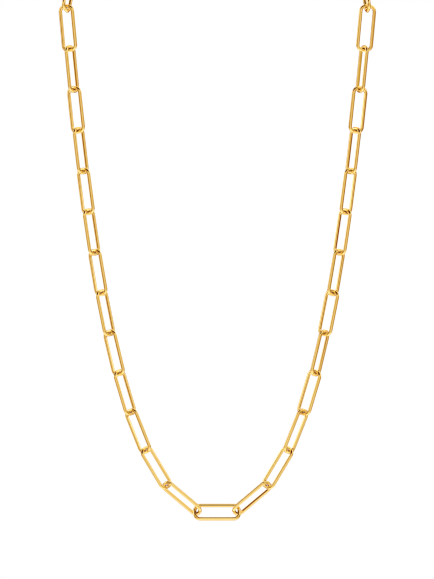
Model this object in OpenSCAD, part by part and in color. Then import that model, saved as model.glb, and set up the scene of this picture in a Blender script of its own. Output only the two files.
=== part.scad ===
/* [Wire] */
// Thickness of the soft square gold wire, face to face
wire = 0.95; // [0.85:0.05:1.15]
// Radius that rounds the wire's long edges
edge_round = 0.3; // [0.24:0.01:0.36]
// Depth polished off the two edges that face out of each link
edge_flat = 0.12; // [0.11:0.01:0.14]

/* [Links] */
// Outside length of one link
link_length = 14; // [12:0.1:17]
// Outside width of one link
link_width = 5.1; // [4.8:0.05:6]
// Outside radius of a link's four bends
link_bend = 2.1; // [1.8:0.1:2.3]
// Clear gap between two links that hang straight in each other
link_gap = 0.12; // [0.1:0.01:0.2]
// Extra clear gap at a bent joint, growing with the sine of its bend
bend_room = 0.32; // [0.3:0.02:0.5]
// Angle between the planes of two neighbouring links
quarter_turn = 92; // [86:1:98]

/* [Front curve] */
// Links on each side of the bottom link that hang in the front curve
front_links = 13; // [11:1:15]
// Slope that each link adds to the one below it
drape_slope = 0.84; // [0.78:0.01:0.9]
// Distance that the bottom link hangs below the line between its two joints
bottom_sag = 0.35; // [0.3:0.05:0.5]
// Extra clear gap at the bottom link's two joints, where the chain bends most
bottom_room = 0.42; // [0.4:0.02:0.5]

/* [Back of the neck] */
// Links on each side between the front curve and the clasp
back_links = 5; // [5:1:7]
// Angle by which the run to the nape leans back from upright
back_lean = 60; // [40:5:70]
// Links over which that lean is taken up
lean_links = 3; // [2:1:4]

/* [Clasp] */
// Length of the clasp between the inner sides of its two end eyes' outer walls
clasp_span = 16.6; // [14:0.2:18]
// Thickness of the clasp's round wire
clasp_wire = 1.1; // [1:0.05:1.2]
// Outside diameter of the eye at each end
eye_diameter = 4.2; // [4.1:0.1:4.6]
// Outside width of the oval between the eyes
oval_width = 5.6; // [5:0.1:6.5]

/* [Hidden] */
$fn = 48;

// Twist of the chain at chosen links, counted from the bottom link up each side. It is the
// angle of an even link's plane from the outside of the curve round to its front.
left_twist = [[0, 22], [1, 41], [3, 50], [9, 51], [12, 58], [14, 68], [18, 0]];
right_twist = [[0, 22], [1, 42], [2, 45], [5, 36], [8, 45], [9, 48], [11, 63], [12, 66], [13, 78], [14, 80], [18, 0]];
twist_links = 18;

side_links = front_links + back_links;
link_count = 2 * side_links + 1;
// From a link's centre to the middle of its end bars
bar_reach = (link_length - wire) / 2;
clasp_bar_reach = (clasp_span + clasp_wire) / 2;

function link_name(i) = str("link_", i < 10 ? "0" : "", i);

// Share of the way from the front curve to the clasp's middle at back link i
back_path = back_links * 2 * bar_reach + clasp_span / 2;
function back_share(i) = (i - 0.5) * 2 * bar_reach / back_path;

// Each link points up, turned in by one angle and leaned back by another.
// The bottom link, the front curve and the back run share these two functions.
function turn(m, ease) = m <= front_links
    ? atan(drape_slope * m) - 90
    : m > side_links ? 90 : 90 * pow(back_share(m - front_links), ease);
function lean(m) = back_lean * min(1, max(0, m - front_links) / lean_links);

function along(m, ease) = let(t = turn(m, ease), l = lean(m))
    [-sin(t), cos(t) * sin(l), cos(t) * cos(l)];

// Half the distance between the crossing bars of link m and the next one up
function bar_gap(m, ease) = let(bend = norm(cross(along(m, ease), along(m + 1, ease))))
    (link_gap + (m == 0 ? bottom_room : bend_room * bend * (1 + bend))) / 2;
function bar_offset(m, ease) = wire / 2 + bar_gap(m, ease);

// Distance between the joints at the two ends of link m
function link_step(m, ease) =
    2 * bar_reach - bar_offset(m, ease) - bar_offset(m == 0 ? 0 : m - 1, ease);

// Joint above link m, from the bottom link's middle
function joint(m, ease) = m == 0
    ? [link_step(0, ease) / 2, 0, 0]
    : joint(m - 1, ease) + link_step(m, ease) * along(m, ease);

function clasp_half(ease) = clasp_span / 2 - bar_gap(side_links, ease);
function miss(ease) = joint(side_links, ease)[0] - clasp_half(ease);

// Ease of the turn that closes the loop, by halving
function close_loop(low, high, tries) = let(mid = (low + high) / 2)
    tries == 0 ? mid
    : miss(mid) > 0 ? close_loop(low, mid, tries - 1) : close_loop(mid, high, tries - 1);

ease = close_loop(0.2, 4, 26);
nape = joint(side_links, ease) - [clasp_half(ease), 0, 0];

// Joints of one side, worked out once
joints = [for (m = [0:side_links]) joint(m, ease) - nape];

function link_middle(m) = m == 0
    ? [0, 0, -bottom_sag] - nape
    : joints[m - 1] + (bar_reach - bar_offset(m - 1, ease)) * along(m, ease);

function twist(m, table) = lookup(m * twist_links / side_links, table) - (m % 2 == 1 ? quarter_turn : 0);

// Section of the wire: a rounded square whose two outer edges are polished flat.
// Its X is the way out of the link.
module wire_section() {
    half = wire / 2;
    inset = half - edge_round;
    outer_edge = sqrt(2) * (inset * sqrt(2) + edge_round - edge_flat);
    intersection() {
        union() {
            square([wire, 2 * inset], center = true);
            square([2 * inset, wire], center = true);
            for (x = [-inset, inset], y = [-inset, inset])
                translate([x, y]) circle(r = edge_round);
        }
        translate([outer_edge, 0]) rotate(135) square(2 * wire);
    }
}

// Runs a straight piece of wire up Z, its outer side towards X
module straight_wire(length) {
    linear_extrude(height = length) wire_section();
}

// Bends the wire a quarter turn in the XZ plane, from X round to Z
module quarter_bend() {
    rotate([90, 0, 0]) rotate_extrude(angle = 90) translate([link_bend - wire / 2, 0]) wire_section();
}

// One link, long along Z and wide along X
module link() {
    bend_x = link_width / 2 - link_bend;
    bend_z = link_length / 2 - link_bend;
    color("gold") {
        for (side = [0, 1])
            mirror([side, 0, 0]) translate([(link_width - wire) / 2, 0, -bend_z]) straight_wire(2 * bend_z);
        for (end = [0, 1])
            mirror([0, 0, end]) translate([-bend_x, 0, bar_reach]) rotate(180, [1, 0, 1])
                straight_wire(2 * bend_x);
        for (side = [0, 1], end = [0, 1])
            mirror([side, 0, 0]) mirror([0, 0, end]) translate([bend_x, 0, bend_z]) quarter_bend();
    }
}

// Puts a link at its place: m counts up from the bottom link, and left is the other side
module place(m, table) {
    translate(link_middle(m))
        rotate([-lean(m), 0, 0]) rotate([0, -turn(m, ease), 0]) rotate([0, 0, -twist(m, table)])
            children();
}

// Link i of the loop, counted from the clasp down the left side and up the right
module loop_link(i) {
    m = i - side_links - 1;
    if (m < 0) mirror([1, 0, 0]) place(-m, left_twist) link();
    else place(m, right_twist) link();
}

module ring(radius, thickness) {
    rotate_extrude() translate([radius, 0]) circle(d = thickness);
}

// Half of the clasp's oval and the eye beyond it, towards +X, lying in the XY plane
module clasp_half_shape() {
    eye_radius = (eye_diameter - clasp_wire) / 2;
    oval_radius = (oval_width - clasp_wire) / 2;
    oval_reach = clasp_bar_reach - 2 * eye_radius;
    straight = oval_reach - oval_radius;
    translate([clasp_bar_reach - eye_radius, 0, 0]) ring(eye_radius, clasp_wire);
    translate([straight, 0, 0]) rotate([0, 0, -90])
        rotate_extrude(angle = 180) translate([oval_radius, 0]) circle(d = clasp_wire);
    for (y = [-1, 1])
        translate([0, y * oval_radius, 0]) rotate([0, 90, 0]) cylinder(d = clasp_wire, h = straight);
}

// The clasp, one plain piece that lies flat against the nape
module clasp() {
    color("gold") rotate([-back_lean, 0, 0]) for (side = [0, 1])
        mirror([side, 0, 0]) clasp_half_shape();
}

for (i = [1:link_count]) loop_link(i);
clasp();
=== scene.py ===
import math

import bmesh
import bpy
from mathutils import Matrix, Vector


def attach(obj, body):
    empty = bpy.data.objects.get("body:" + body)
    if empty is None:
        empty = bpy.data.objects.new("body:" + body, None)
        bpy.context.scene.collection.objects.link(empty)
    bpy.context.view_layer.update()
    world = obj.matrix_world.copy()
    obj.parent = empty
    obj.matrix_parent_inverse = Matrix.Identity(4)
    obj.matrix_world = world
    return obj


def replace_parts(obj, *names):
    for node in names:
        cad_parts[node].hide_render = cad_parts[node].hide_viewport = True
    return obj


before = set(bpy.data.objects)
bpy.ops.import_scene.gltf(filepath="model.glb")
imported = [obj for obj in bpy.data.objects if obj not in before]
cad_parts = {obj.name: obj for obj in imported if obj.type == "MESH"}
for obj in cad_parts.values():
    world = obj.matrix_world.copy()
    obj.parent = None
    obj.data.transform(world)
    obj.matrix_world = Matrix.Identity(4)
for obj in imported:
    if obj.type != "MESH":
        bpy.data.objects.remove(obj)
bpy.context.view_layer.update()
scene = bpy.context.scene
mm = 0.001
print("loaded the frame")


def linearColour(hexText):
    # sRGB hex to the linear values that shaders take
    channels = [int(hexText[i:i + 2], 16) / 255 for i in (0, 2, 4)]
    linear = [c / 12.92 if c <= 0.04045 else ((c + 0.055) / 1.055) ** 2.4 for c in channels]
    return (*linear, 1.0)


def addNode(tree, kind, settings=None, inputs=None):
    # settings are the node's own properties; an input is a value or another node's output socket
    node = tree.nodes.new(kind)
    for name, value in (settings or {}).items():
        setattr(node, name, value)
    for name, value in (inputs or {}).items():
        if isinstance(value, bpy.types.NodeSocket):
            tree.links.new(value, node.inputs[name])
        else:
            node.inputs[name].default_value = value
    return node


def newPiece(name, mesh):
    piece = bpy.data.objects.new(name, mesh)
    scene.collection.objects.link(piece)
    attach(piece, "root")
    return piece


# Camera: level, in front of the chain, a long lens as for a catalogue picture
cameraView = {
    "frontPlaneMm": -27.24,   # the front curve hangs in this plane
    "mmPerPixel": 0.29178,    # in that plane, from the joints in the picture
    "centreMm": (0.0, -110.73),
    "distanceMm": 1200,
    "sensorMm": 36,
    "picturePixels": (434, 579),
    "filterPixels": 1.2,      # narrower than usual, for the crisp edges of a catalogue picture
}


def makeCamera():
    view = cameraView
    pictureMm = view["picturePixels"][0] * view["mmPerPixel"]
    data = bpy.data.cameras.new("camera")
    data.sensor_fit = "HORIZONTAL"
    data.sensor_width = view["sensorMm"]
    data.lens = view["sensorMm"] * view["distanceMm"] / pictureMm
    data.clip_end = 20
    camera = bpy.data.objects.new("camera", data)
    scene.collection.objects.link(camera)
    x, z = view["centreMm"]
    camera.location = (x * mm, (view["frontPlaneMm"] - view["distanceMm"]) * mm, z * mm)
    camera.rotation_euler = (math.radians(90), 0, 0)
    scene.camera = camera
    scene.cycles.filter_width = view["filterPixels"]


makeCamera()
print("camera")

# Studio: a cream tent over a pale floor. Each card is a bright or dark part of the tent that the
# gold mirrors: where its middle lies, the angles in degrees at which it begins and ends to fade,
# its colour and strength, and the colour of the patches on it, if it has any
studio = {
    "floorMm": -250,
    "floorRadiusMm": 700,
    "floorColour": "F6F6F5",
    "tent": ("EEDCB8", 1.1),
    "patchScale": 5.0,
    "patchEdges": (0.44, 0.54),  # the noise's value where a patch begins and where it is full
    "cards": {
        "behind": ((0.0, 0.98, 0.0), 40, 56, "C8944A", 1.0, None),
        "behindAbove": ((0.25, 0.62, 0.74), 24, 40, "FFF8E4", 1.35, None),
        "below": ((0.0, 0.1, -0.98), 40, 60, "FFFAF0", 1.25, None),
        "cameraSide": ((0.1, -0.97, -0.15), 18, 38, "E8C68A", 1.0, "FFFFFF"),
        "cameraLeft": ((-0.4, -0.9, 0.1), 8, 24, "E4CA98", 1.0, None),
        "leftFront": ((-0.85, -0.45, -0.15), 14, 28, "AC7218", 1.0, None),
        "rightFront": ((0.78, -0.6, 0.0), 14, 26, "D8B45A", 1.0, None),
        "right": ((0.98, -0.08, -0.12), 10, 22, "8E4208", 1.0, None),
        "rightAbove": ((0.9, 0.0, 0.42), 8, 22, "FFFFFF", 1.4, None),
        "leftAbove": ((-0.87, 0.3, 0.4), 18, 34, "FFFFFF", 1.45, None),
        "topLeft": ((-0.52, -0.4, 0.75), 24, 31, "8A4606", 1.0, None),
        "topFront": ((0.0, -0.54, 0.84), 22, 28, "4E1600", 1.0, None),
    },
}


def makeTent():
    world = bpy.data.worlds.new("studio")
    scene.world = world
    world.use_nodes = True
    tree = world.node_tree
    tree.nodes.clear()
    direction = addNode(tree, "ShaderNodeTexCoord").outputs["Generated"]
    clutter = addNode(tree, "ShaderNodeTexNoise", None,
                      {"Vector": direction, "Scale": studio["patchScale"], "Detail": 2.0})
    begins, full = studio["patchEdges"]
    patches = addNode(tree, "ShaderNodeMapRange", None,
                      {"Value": clutter.outputs["Fac"], "From Min": begins, "From Max": full})
    hexText, strength = studio["tent"]
    light = addNode(tree, "ShaderNodeBackground", None,
                    {"Color": linearColour(hexText), "Strength": strength}).outputs[0]
    for middle, inner, outer, hexText, strength, patchHex in studio["cards"].values():
        towards = addNode(tree, "ShaderNodeVectorMath", {"operation": "DOT_PRODUCT"},
                          {0: direction, 1: Vector(middle).normalized()})
        fade = addNode(tree, "ShaderNodeMapRange", {"interpolation_type": "SMOOTHSTEP"},
                       {"Value": towards.outputs["Value"],
                        "From Min": math.cos(math.radians(outer)),
                        "From Max": math.cos(math.radians(inner))})
        card = addNode(tree, "ShaderNodeBackground", None,
                       {"Color": linearColour(hexText), "Strength": strength})
        if patchHex:
            colour = addNode(tree, "ShaderNodeMix", {"data_type": "RGBA"},
                             {0: patches.outputs["Result"], 6: linearColour(hexText),
                              7: linearColour(patchHex)})
            tree.links.new(colour.outputs[2], card.inputs["Color"])
        light = addNode(tree, "ShaderNodeMixShader", None,
                        {0: fade.outputs["Result"], 1: light, 2: card.outputs[0]}).outputs[0]
    # the camera sees plain white behind the chain, and plain white light falls on the floor: only
    # the gold mirrors the tent and its cards
    white = addNode(tree, "ShaderNodeBackground", None, {"Color": (1, 1, 1, 1), "Strength": 1.0})
    path = addNode(tree, "ShaderNodeLightPath")
    plain = addNode(tree, "ShaderNodeMath", {"operation": "MAXIMUM"},
                    {0: path.outputs["Is Camera Ray"], 1: path.outputs["Is Diffuse Ray"]})
    light = addNode(tree, "ShaderNodeMixShader", None,
                    {0: plain.outputs[0], 1: light, 2: white.outputs[0]}).outputs[0]
    addNode(tree, "ShaderNodeOutputWorld", None, {"Surface": light})


def makeFloor():
    bm = bmesh.new()
    bmesh.ops.create_circle(bm, cap_ends=True, segments=96, radius=studio["floorRadiusMm"] * mm)
    bmesh.ops.translate(bm, verts=bm.verts, vec=(0, 0, studio["floorMm"] * mm))
    mesh = bpy.data.meshes.new("floor")
    bm.to_mesh(mesh)
    bm.free()
    floor = bpy.data.objects.new("floor", mesh)
    scene.collection.objects.link(floor)
    paper = bpy.data.materials.new("matt white paper")  # one even tone, with no shine
    paper.use_nodes = True
    shader = paper.node_tree.nodes["Principled BSDF"]
    shader.inputs["Base Color"].default_value = linearColour(studio["floorColour"])
    shader.inputs["Roughness"].default_value = 0.9
    shader.inputs["Specular IOR Level"].default_value = 0.0
    mesh.materials.append(paper)
    floor.visible_glossy = False  # the gold mirrors the card below it, not the paper


makeTent()
makeFloor()
scene.view_settings.view_transform = "Standard"
print("studio")

# Polished 14k yellow gold. Drawn wire that was tumbled and then buffed: it mirrors the studio,
# its colour deepens wherever gold reflects gold, and its polish is never quite even.
goldFinish = {
    "colour": "F6E39F",
    "deepColour": "F7DD92",      # slightly redder patches of the alloy
    "edgeColour": "DCA850",      # a darker gold where the surface turns away at the wire's sides
    "roughness": (0.03, 0.08),
    "patchMm": 6.0,              # size of the colour patches
    "buffMm": 1.2,               # size of the buffing marks, coarser than real so that they show
    "buffSpread": (0.3, 0.7),    # the noise's values that give the smoothest and the roughest spot
    "waveMm": 5.0,               # length of the slight waves left by drawing and bending the wire
    "waveHeightMm": 0.05,
    "paintedJointShade": "9C4208",      # painted shade: a deep brown where the links meet inside each other's ends
    "wornRoughness": 0.1,
}


def makeGold():
    material = bpy.data.materials.new("polished 14k yellow gold")
    material.use_nodes = True
    tree = material.node_tree
    shader = tree.nodes["Principled BSDF"]
    place = addNode(tree, "ShaderNodeTexCoord").outputs["Object"]
    patches = addNode(tree, "ShaderNodeTexNoise", None,
                      {"Vector": place, "Scale": 1 / (goldFinish["patchMm"] * mm), "Detail": 2.0})
    colour = addNode(tree, "ShaderNodeMix", {"data_type": "RGBA"},
                     {0: patches.outputs["Fac"], 6: linearColour(goldFinish["colour"]),
                      7: linearColour(goldFinish["deepColour"])})
    # painted shade in the joints: the base colour turns deep brown inside the link ends where the
    # links meet, and the same mask makes the surface a little rougher there, from wear
    shadeAndWear = addNode(tree, "ShaderNodeAttribute", {"attribute_name": "shadeAndWear"})
    paintedJointShade = addNode(tree, "ShaderNodeMix", {"data_type": "RGBA"},
                         {0: shadeAndWear.outputs["Fac"], 6: colour.outputs[2],
                          7: linearColour(goldFinish["paintedJointShade"])})
    tree.links.new(paintedJointShade.outputs[2], shader.inputs["Base Color"])
    buffing = addNode(tree, "ShaderNodeTexNoise", None,
                      {"Vector": place, "Scale": 1 / (goldFinish["buffMm"] * mm), "Detail": 4.0,
                       "Roughness": 0.6})
    smoothest, roughest = goldFinish["buffSpread"]
    low, high = goldFinish["roughness"]
    polish = addNode(tree, "ShaderNodeMapRange", None,
                     {"Value": buffing.outputs["Fac"], "From Min": smoothest,
                      "From Max": roughest, "To Min": low, "To Max": high})
    dulled = addNode(tree, "ShaderNodeMix", None,
                     {0: shadeAndWear.outputs["Fac"], 2: polish.outputs["Result"],
                      3: goldFinish["wornRoughness"]})
    tree.links.new(dulled.outputs[0], shader.inputs["Roughness"])
    waves = addNode(tree, "ShaderNodeTexNoise", None,
                    {"Vector": place, "Scale": 1 / (goldFinish["waveMm"] * mm), "Detail": 1.0})
    bump = addNode(tree, "ShaderNodeBump", None,
                   {"Height": waves.outputs["Fac"], "Strength": 1.0,
                    "Distance": goldFinish["waveHeightMm"] * mm})
    tree.links.new(bump.outputs["Normal"], shader.inputs["Normal"])
    shader.inputs["Metallic"].default_value = 1.0
    shader.inputs["Specular Tint"].default_value = linearColour(goldFinish["edgeColour"])
    return material


gold = makeGold()
print("gold")

# The chain's course, in the same words and values as the part's source
course = {
    "linkLength": 14.0, "linkWidth": 5.1, "wire": 0.95,
    "linkGap": 0.12, "bendRoom": 0.32, "quarterTurn": 92,
    "frontLinks": 13, "drapeSlope": 0.84, "bottomSag": 0.35, "bottomRoom": 0.42,
    "backLinks": 5, "backLean": 60, "leanLinks": 3,
    "claspSpan": 16.6,
    "easeLimits": (0.2, 4.0), "halvings": 26,
    # links up from the bottom one, and the twist there in degrees
    "leftTwist": ((0, 22), (1, 41), (3, 50), (9, 51), (12, 58), (14, 68), (18, 0)),
    "rightTwist": ((0, 22), (1, 42), (2, 45), (5, 36), (8, 45), (9, 48), (11, 63), (12, 66),
                   (13, 78), (14, 80), (18, 0)),
}
sideLinks = course["frontLinks"] + course["backLinks"]
barReach = (course["linkLength"] - course["wire"]) / 2


def turnOf(m, ease):
    # degrees by which link m of a side leans from upright in the front plane
    if m <= course["frontLinks"]:
        return math.degrees(math.atan(course["drapeSlope"] * m)) - 90
    if m > sideLinks:
        return 90
    path = course["backLinks"] * 2 * barReach + course["claspSpan"] / 2
    share = (m - course["frontLinks"] - 0.5) * 2 * barReach / path
    return 90 * share ** ease


def leanOf(m):
    return course["backLean"] * min(1, max(0, m - course["frontLinks"]) / course["leanLinks"])


def alongOf(m, ease):
    turn, lean = math.radians(turnOf(m, ease)), math.radians(leanOf(m))
    return Vector((-math.sin(turn), math.cos(turn) * math.sin(lean),
                   math.cos(turn) * math.cos(lean)))


def barGap(m, ease):
    bend = alongOf(m, ease).cross(alongOf(m + 1, ease)).length
    extra = course["bottomRoom"] if m == 0 else course["bendRoom"] * bend * (1 + bend)
    return (course["linkGap"] + extra) / 2


def barOffset(m, ease):
    return course["wire"] / 2 + barGap(m, ease)


def jointsOf(ease):
    # the joints of one side, from the bottom link's middle
    joints = [Vector((barReach - barOffset(0, ease), 0, 0))]
    for m in range(1, sideLinks + 1):
        step = 2 * barReach - barOffset(m, ease) - barOffset(m - 1, ease)
        joints.append(joints[-1] + step * alongOf(m, ease))
    return joints


def claspHalf(ease):
    return course["claspSpan"] / 2 - barGap(sideLinks, ease)


def closeLoop():
    # the ease of the turn at which the last joint meets the clasp's end
    low, high = course["easeLimits"]
    for _ in range(course["halvings"]):
        ease = (low + high) / 2
        miss = jointsOf(ease)[-1].x - claspHalf(ease)
        low, high = (low, ease) if miss > 0 else (ease, high)
    return (low + high) / 2


ease = closeLoop()
rawJoints = jointsOf(ease)
nape = rawJoints[-1] - Vector((claspHalf(ease), 0, 0))
joints = [joint - nape for joint in rawJoints]


def twistOf(m, table):
    quarter = course["quarterTurn"] if m % 2 else 0
    for (m0, twist0), (m1, twist1) in zip(table, table[1:]):
        if m <= m1:
            return twist0 + (twist1 - twist0) * (m - m0) / (m1 - m0) - quarter


def linkPlace(m, left):
    # the matrix, in mm, that puts a link in the chain
    middle = (Vector((0, 0, -course["bottomSag"])) - nape if m == 0
              else joints[m - 1] + (barReach - barOffset(m - 1, ease)) * alongOf(m, ease))
    twist = twistOf(m, course["leftTwist"] if left else course["rightTwist"])
    place = (Matrix.Translation(middle)
             @ Matrix.Rotation(math.radians(-leanOf(m)), 4, "X")
             @ Matrix.Rotation(math.radians(-turnOf(m, ease)), 4, "Y")
             @ Matrix.Rotation(math.radians(-twist), 4, "Z"))
    return Matrix.Scale(-1, 4, (1, 0, 0)) @ place if left else place


# Steps that the links and the clasp share. Their meshes are made in mm, lying at the origin.
weldMm = 1e-4


def extrudeRing(bm, ring, move):
    # runs a ring of edges straight on, and gives back its new end
    grown = bmesh.ops.extrude_edge_only(bm, edges=ring)["geom"]
    verts = [v for v in grown if isinstance(v, bmesh.types.BMVert)]
    bmesh.ops.translate(bm, verts=verts, vec=move)
    edges = [e for e in grown if isinstance(e, bmesh.types.BMEdge)]
    return verts, [e for e in edges if all(v in verts for v in e.verts)]


def bendRing(bm, end, centre, axis, degrees, steps):
    # turns that end round a bend, and gives back the edges of the next one
    verts, ring = end
    last = bmesh.ops.spin(bm, geom=verts + ring, cent=centre, axis=axis,
                          angle=math.radians(degrees), steps=steps)["geom_last"]
    return [e for e in last if isinstance(e, bmesh.types.BMEdge)]


def goldMesh(bm, name, place):
    bmesh.ops.transform(bm, verts=bm.verts[:], matrix=Matrix.Scale(mm, 4) @ place)
    bmesh.ops.recalc_face_normals(bm, faces=bm.faces[:])
    for face in bm.faces:
        face.smooth = True
    mesh = bpy.data.meshes.new(name)
    bm.to_mesh(mesh)
    bm.free()
    mesh.materials.append(gold)
    return mesh


# A link: one closed loop of soft square wire, its outer edges polished flat
linkForm = {
    "bend": 2.1,             # outside radius of the four bends
    "edgeRound": 0.3,
    "edgeFlat": 0.12,
    "seat": 0.056,           # each end is drawn in by this, so that the links rest on each other
    "edgeSteps": 6,
    "bendSteps": 14,
    "shadeAndWearReach": (0.45, 0.75),  # mm from the spot where links rest on each other, at which the painted joint shade and the wear are full and at which they end
}


def makeLinkMesh(name, place):
    half = course["wire"] / 2
    bendX = course["linkWidth"] / 2 - linkForm["bend"]
    bendZ = course["linkLength"] / 2 - linkForm["bend"]
    bm = bmesh.new()
    # the wire's section, a square with rounded corners
    bmesh.ops.create_circle(bm, cap_ends=True, segments=4, radius=half * math.sqrt(2),
                            matrix=Matrix.Rotation(math.radians(45), 4, "Z"))
    bmesh.ops.bevel(bm, geom=bm.verts[:], offset=linkForm["edgeRound"], affect="VERTICES",
                    segments=linkForm["edgeSteps"], profile=0.5, material=-1)
    # the two outer corners, +X side, cut flat
    inset = half - linkForm["edgeRound"]
    reach = inset * math.sqrt(2) + linkForm["edgeRound"] - linkForm["edgeFlat"]
    for side in (1, -1):
        out = Vector((1, side, 0)).normalized()
        bmesh.ops.bisect_plane(bm, geom=bm.verts[:] + bm.edges[:] + bm.faces[:], dist=weldMm / 10,
                               plane_co=out * reach, plane_no=out, clear_outer=True)
    bmesh.ops.delete(bm, geom=bm.faces[:], context="FACES_ONLY")
    # stand the section across the middle of the upper end bar, outer side up
    swapXZ = Matrix(((0, 0, 1, 0), (0, 1, 0, 0), (1, 0, 0, 0), (0, 0, 0, 1)))
    bmesh.ops.transform(bm, verts=bm.verts[:], matrix=Matrix.Translation((0, 0, barReach)) @ swapXZ)
    # a quarter of the link, from there to the middle of one side, mirrored twice
    end = extrudeRing(bm, bm.edges[:], (bendX, 0, 0))
    ring = bendRing(bm, end, (bendX, 0, bendZ), (0, 1, 0), 90, linkForm["bendSteps"])
    extrudeRing(bm, ring, (0, 0, -bendZ))
    for axis in ("X", "Z"):
        bmesh.ops.mirror(bm, geom=bm.verts[:] + bm.edges[:] + bm.faces[:], axis=axis,
                         merge_dist=weldMm)
    bmesh.ops.remove_doubles(bm, verts=bm.verts[:], dist=weldMm)
    for side in (1, -1):
        bmesh.ops.translate(bm, verts=[v for v in bm.verts if v.co.z * side > weldMm],
                            vec=(0, 0, -side * linkForm["seat"]))
    # how much painted shade and wear each point gets: most inside the two ends, where the next
    # links hang
    shadeAndWear = bm.verts.layers.float.new("shadeAndWear")
    near, far = linkForm["shadeAndWearReach"]
    for v in bm.verts:
        contact = Vector((0, 0, math.copysign(barReach - half - linkForm["seat"], v.co.z)))
        v[shadeAndWear] = min(1, max(0, (far - (v.co - contact).length) / (far - near)))
    return goldMesh(bm, name, place)


for index in range(1, 2 * sideLinks + 2):
    m = index - sideLinks - 1  # links up from the bottom one, below zero on the left
    name = "link_%02d" % index
    mesh = makeLinkMesh("polished_" + name, linkPlace(abs(m), m < 0))
    piece = newPiece("polished_" + name, mesh)
    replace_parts(piece, name)
print("links")

# The clasp: a flat oval of round wire between two eyes, out of sight at the nape
claspForm = {
    "wire": 1.1,
    "eyeDiameter": 4.2,
    "ovalWidth": 5.6,
    "wireSteps": 24,
    "turnSteps": 48,
}


def makeClaspMesh():
    wireRadius = claspForm["wire"] / 2
    eyeRadius = (claspForm["eyeDiameter"] - claspForm["wire"]) / 2
    ovalRadius = (claspForm["ovalWidth"] - claspForm["wire"]) / 2
    claspReach = (course["claspSpan"] + claspForm["wire"]) / 2
    straight = claspReach - 2 * eyeRadius - ovalRadius
    steps = claspForm["turnSteps"]
    bm = bmesh.new()

    def wireSection(middle, axis):
        verts = bmesh.ops.create_circle(bm, segments=claspForm["wireSteps"], radius=wireRadius,
                                        matrix=Matrix.Translation(middle)
                                        @ Matrix.Rotation(math.radians(90), 4, axis))["verts"]
        return verts, list({e for v in verts for e in v.link_edges})

    # each eye, a full turn of the wire's round section
    for side in (1, -1):
        eye = Vector((side * (claspReach - eyeRadius), 0, 0))
        verts, ring = wireSection(eye + Vector((eyeRadius, 0, 0)), "X")
        bmesh.ops.spin(bm, geom=verts + ring, cent=eye, axis=(0, 0, 1), angle=math.radians(360),
                       steps=steps, use_merge=True)
    # the oval: one straight, a half turn, the other straight and the half turn back
    verts, ring = wireSection((-straight, -ovalRadius, 0), "Y")
    for side in (1, -1):
        end = extrudeRing(bm, ring, (2 * side * straight, 0, 0))
        ring = bendRing(bm, end, (side * straight, 0, 0), (0, 0, 1), 180, steps // 2)
    bmesh.ops.remove_doubles(bm, verts=bm.verts[:], dist=weldMm)
    return goldMesh(bm, "polished_clasp",
                    Matrix.Rotation(math.radians(-course["backLean"]), 4, "X"))


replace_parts(newPiece("polished_clasp", makeClaspMesh()), "clasp")
print("clasp")
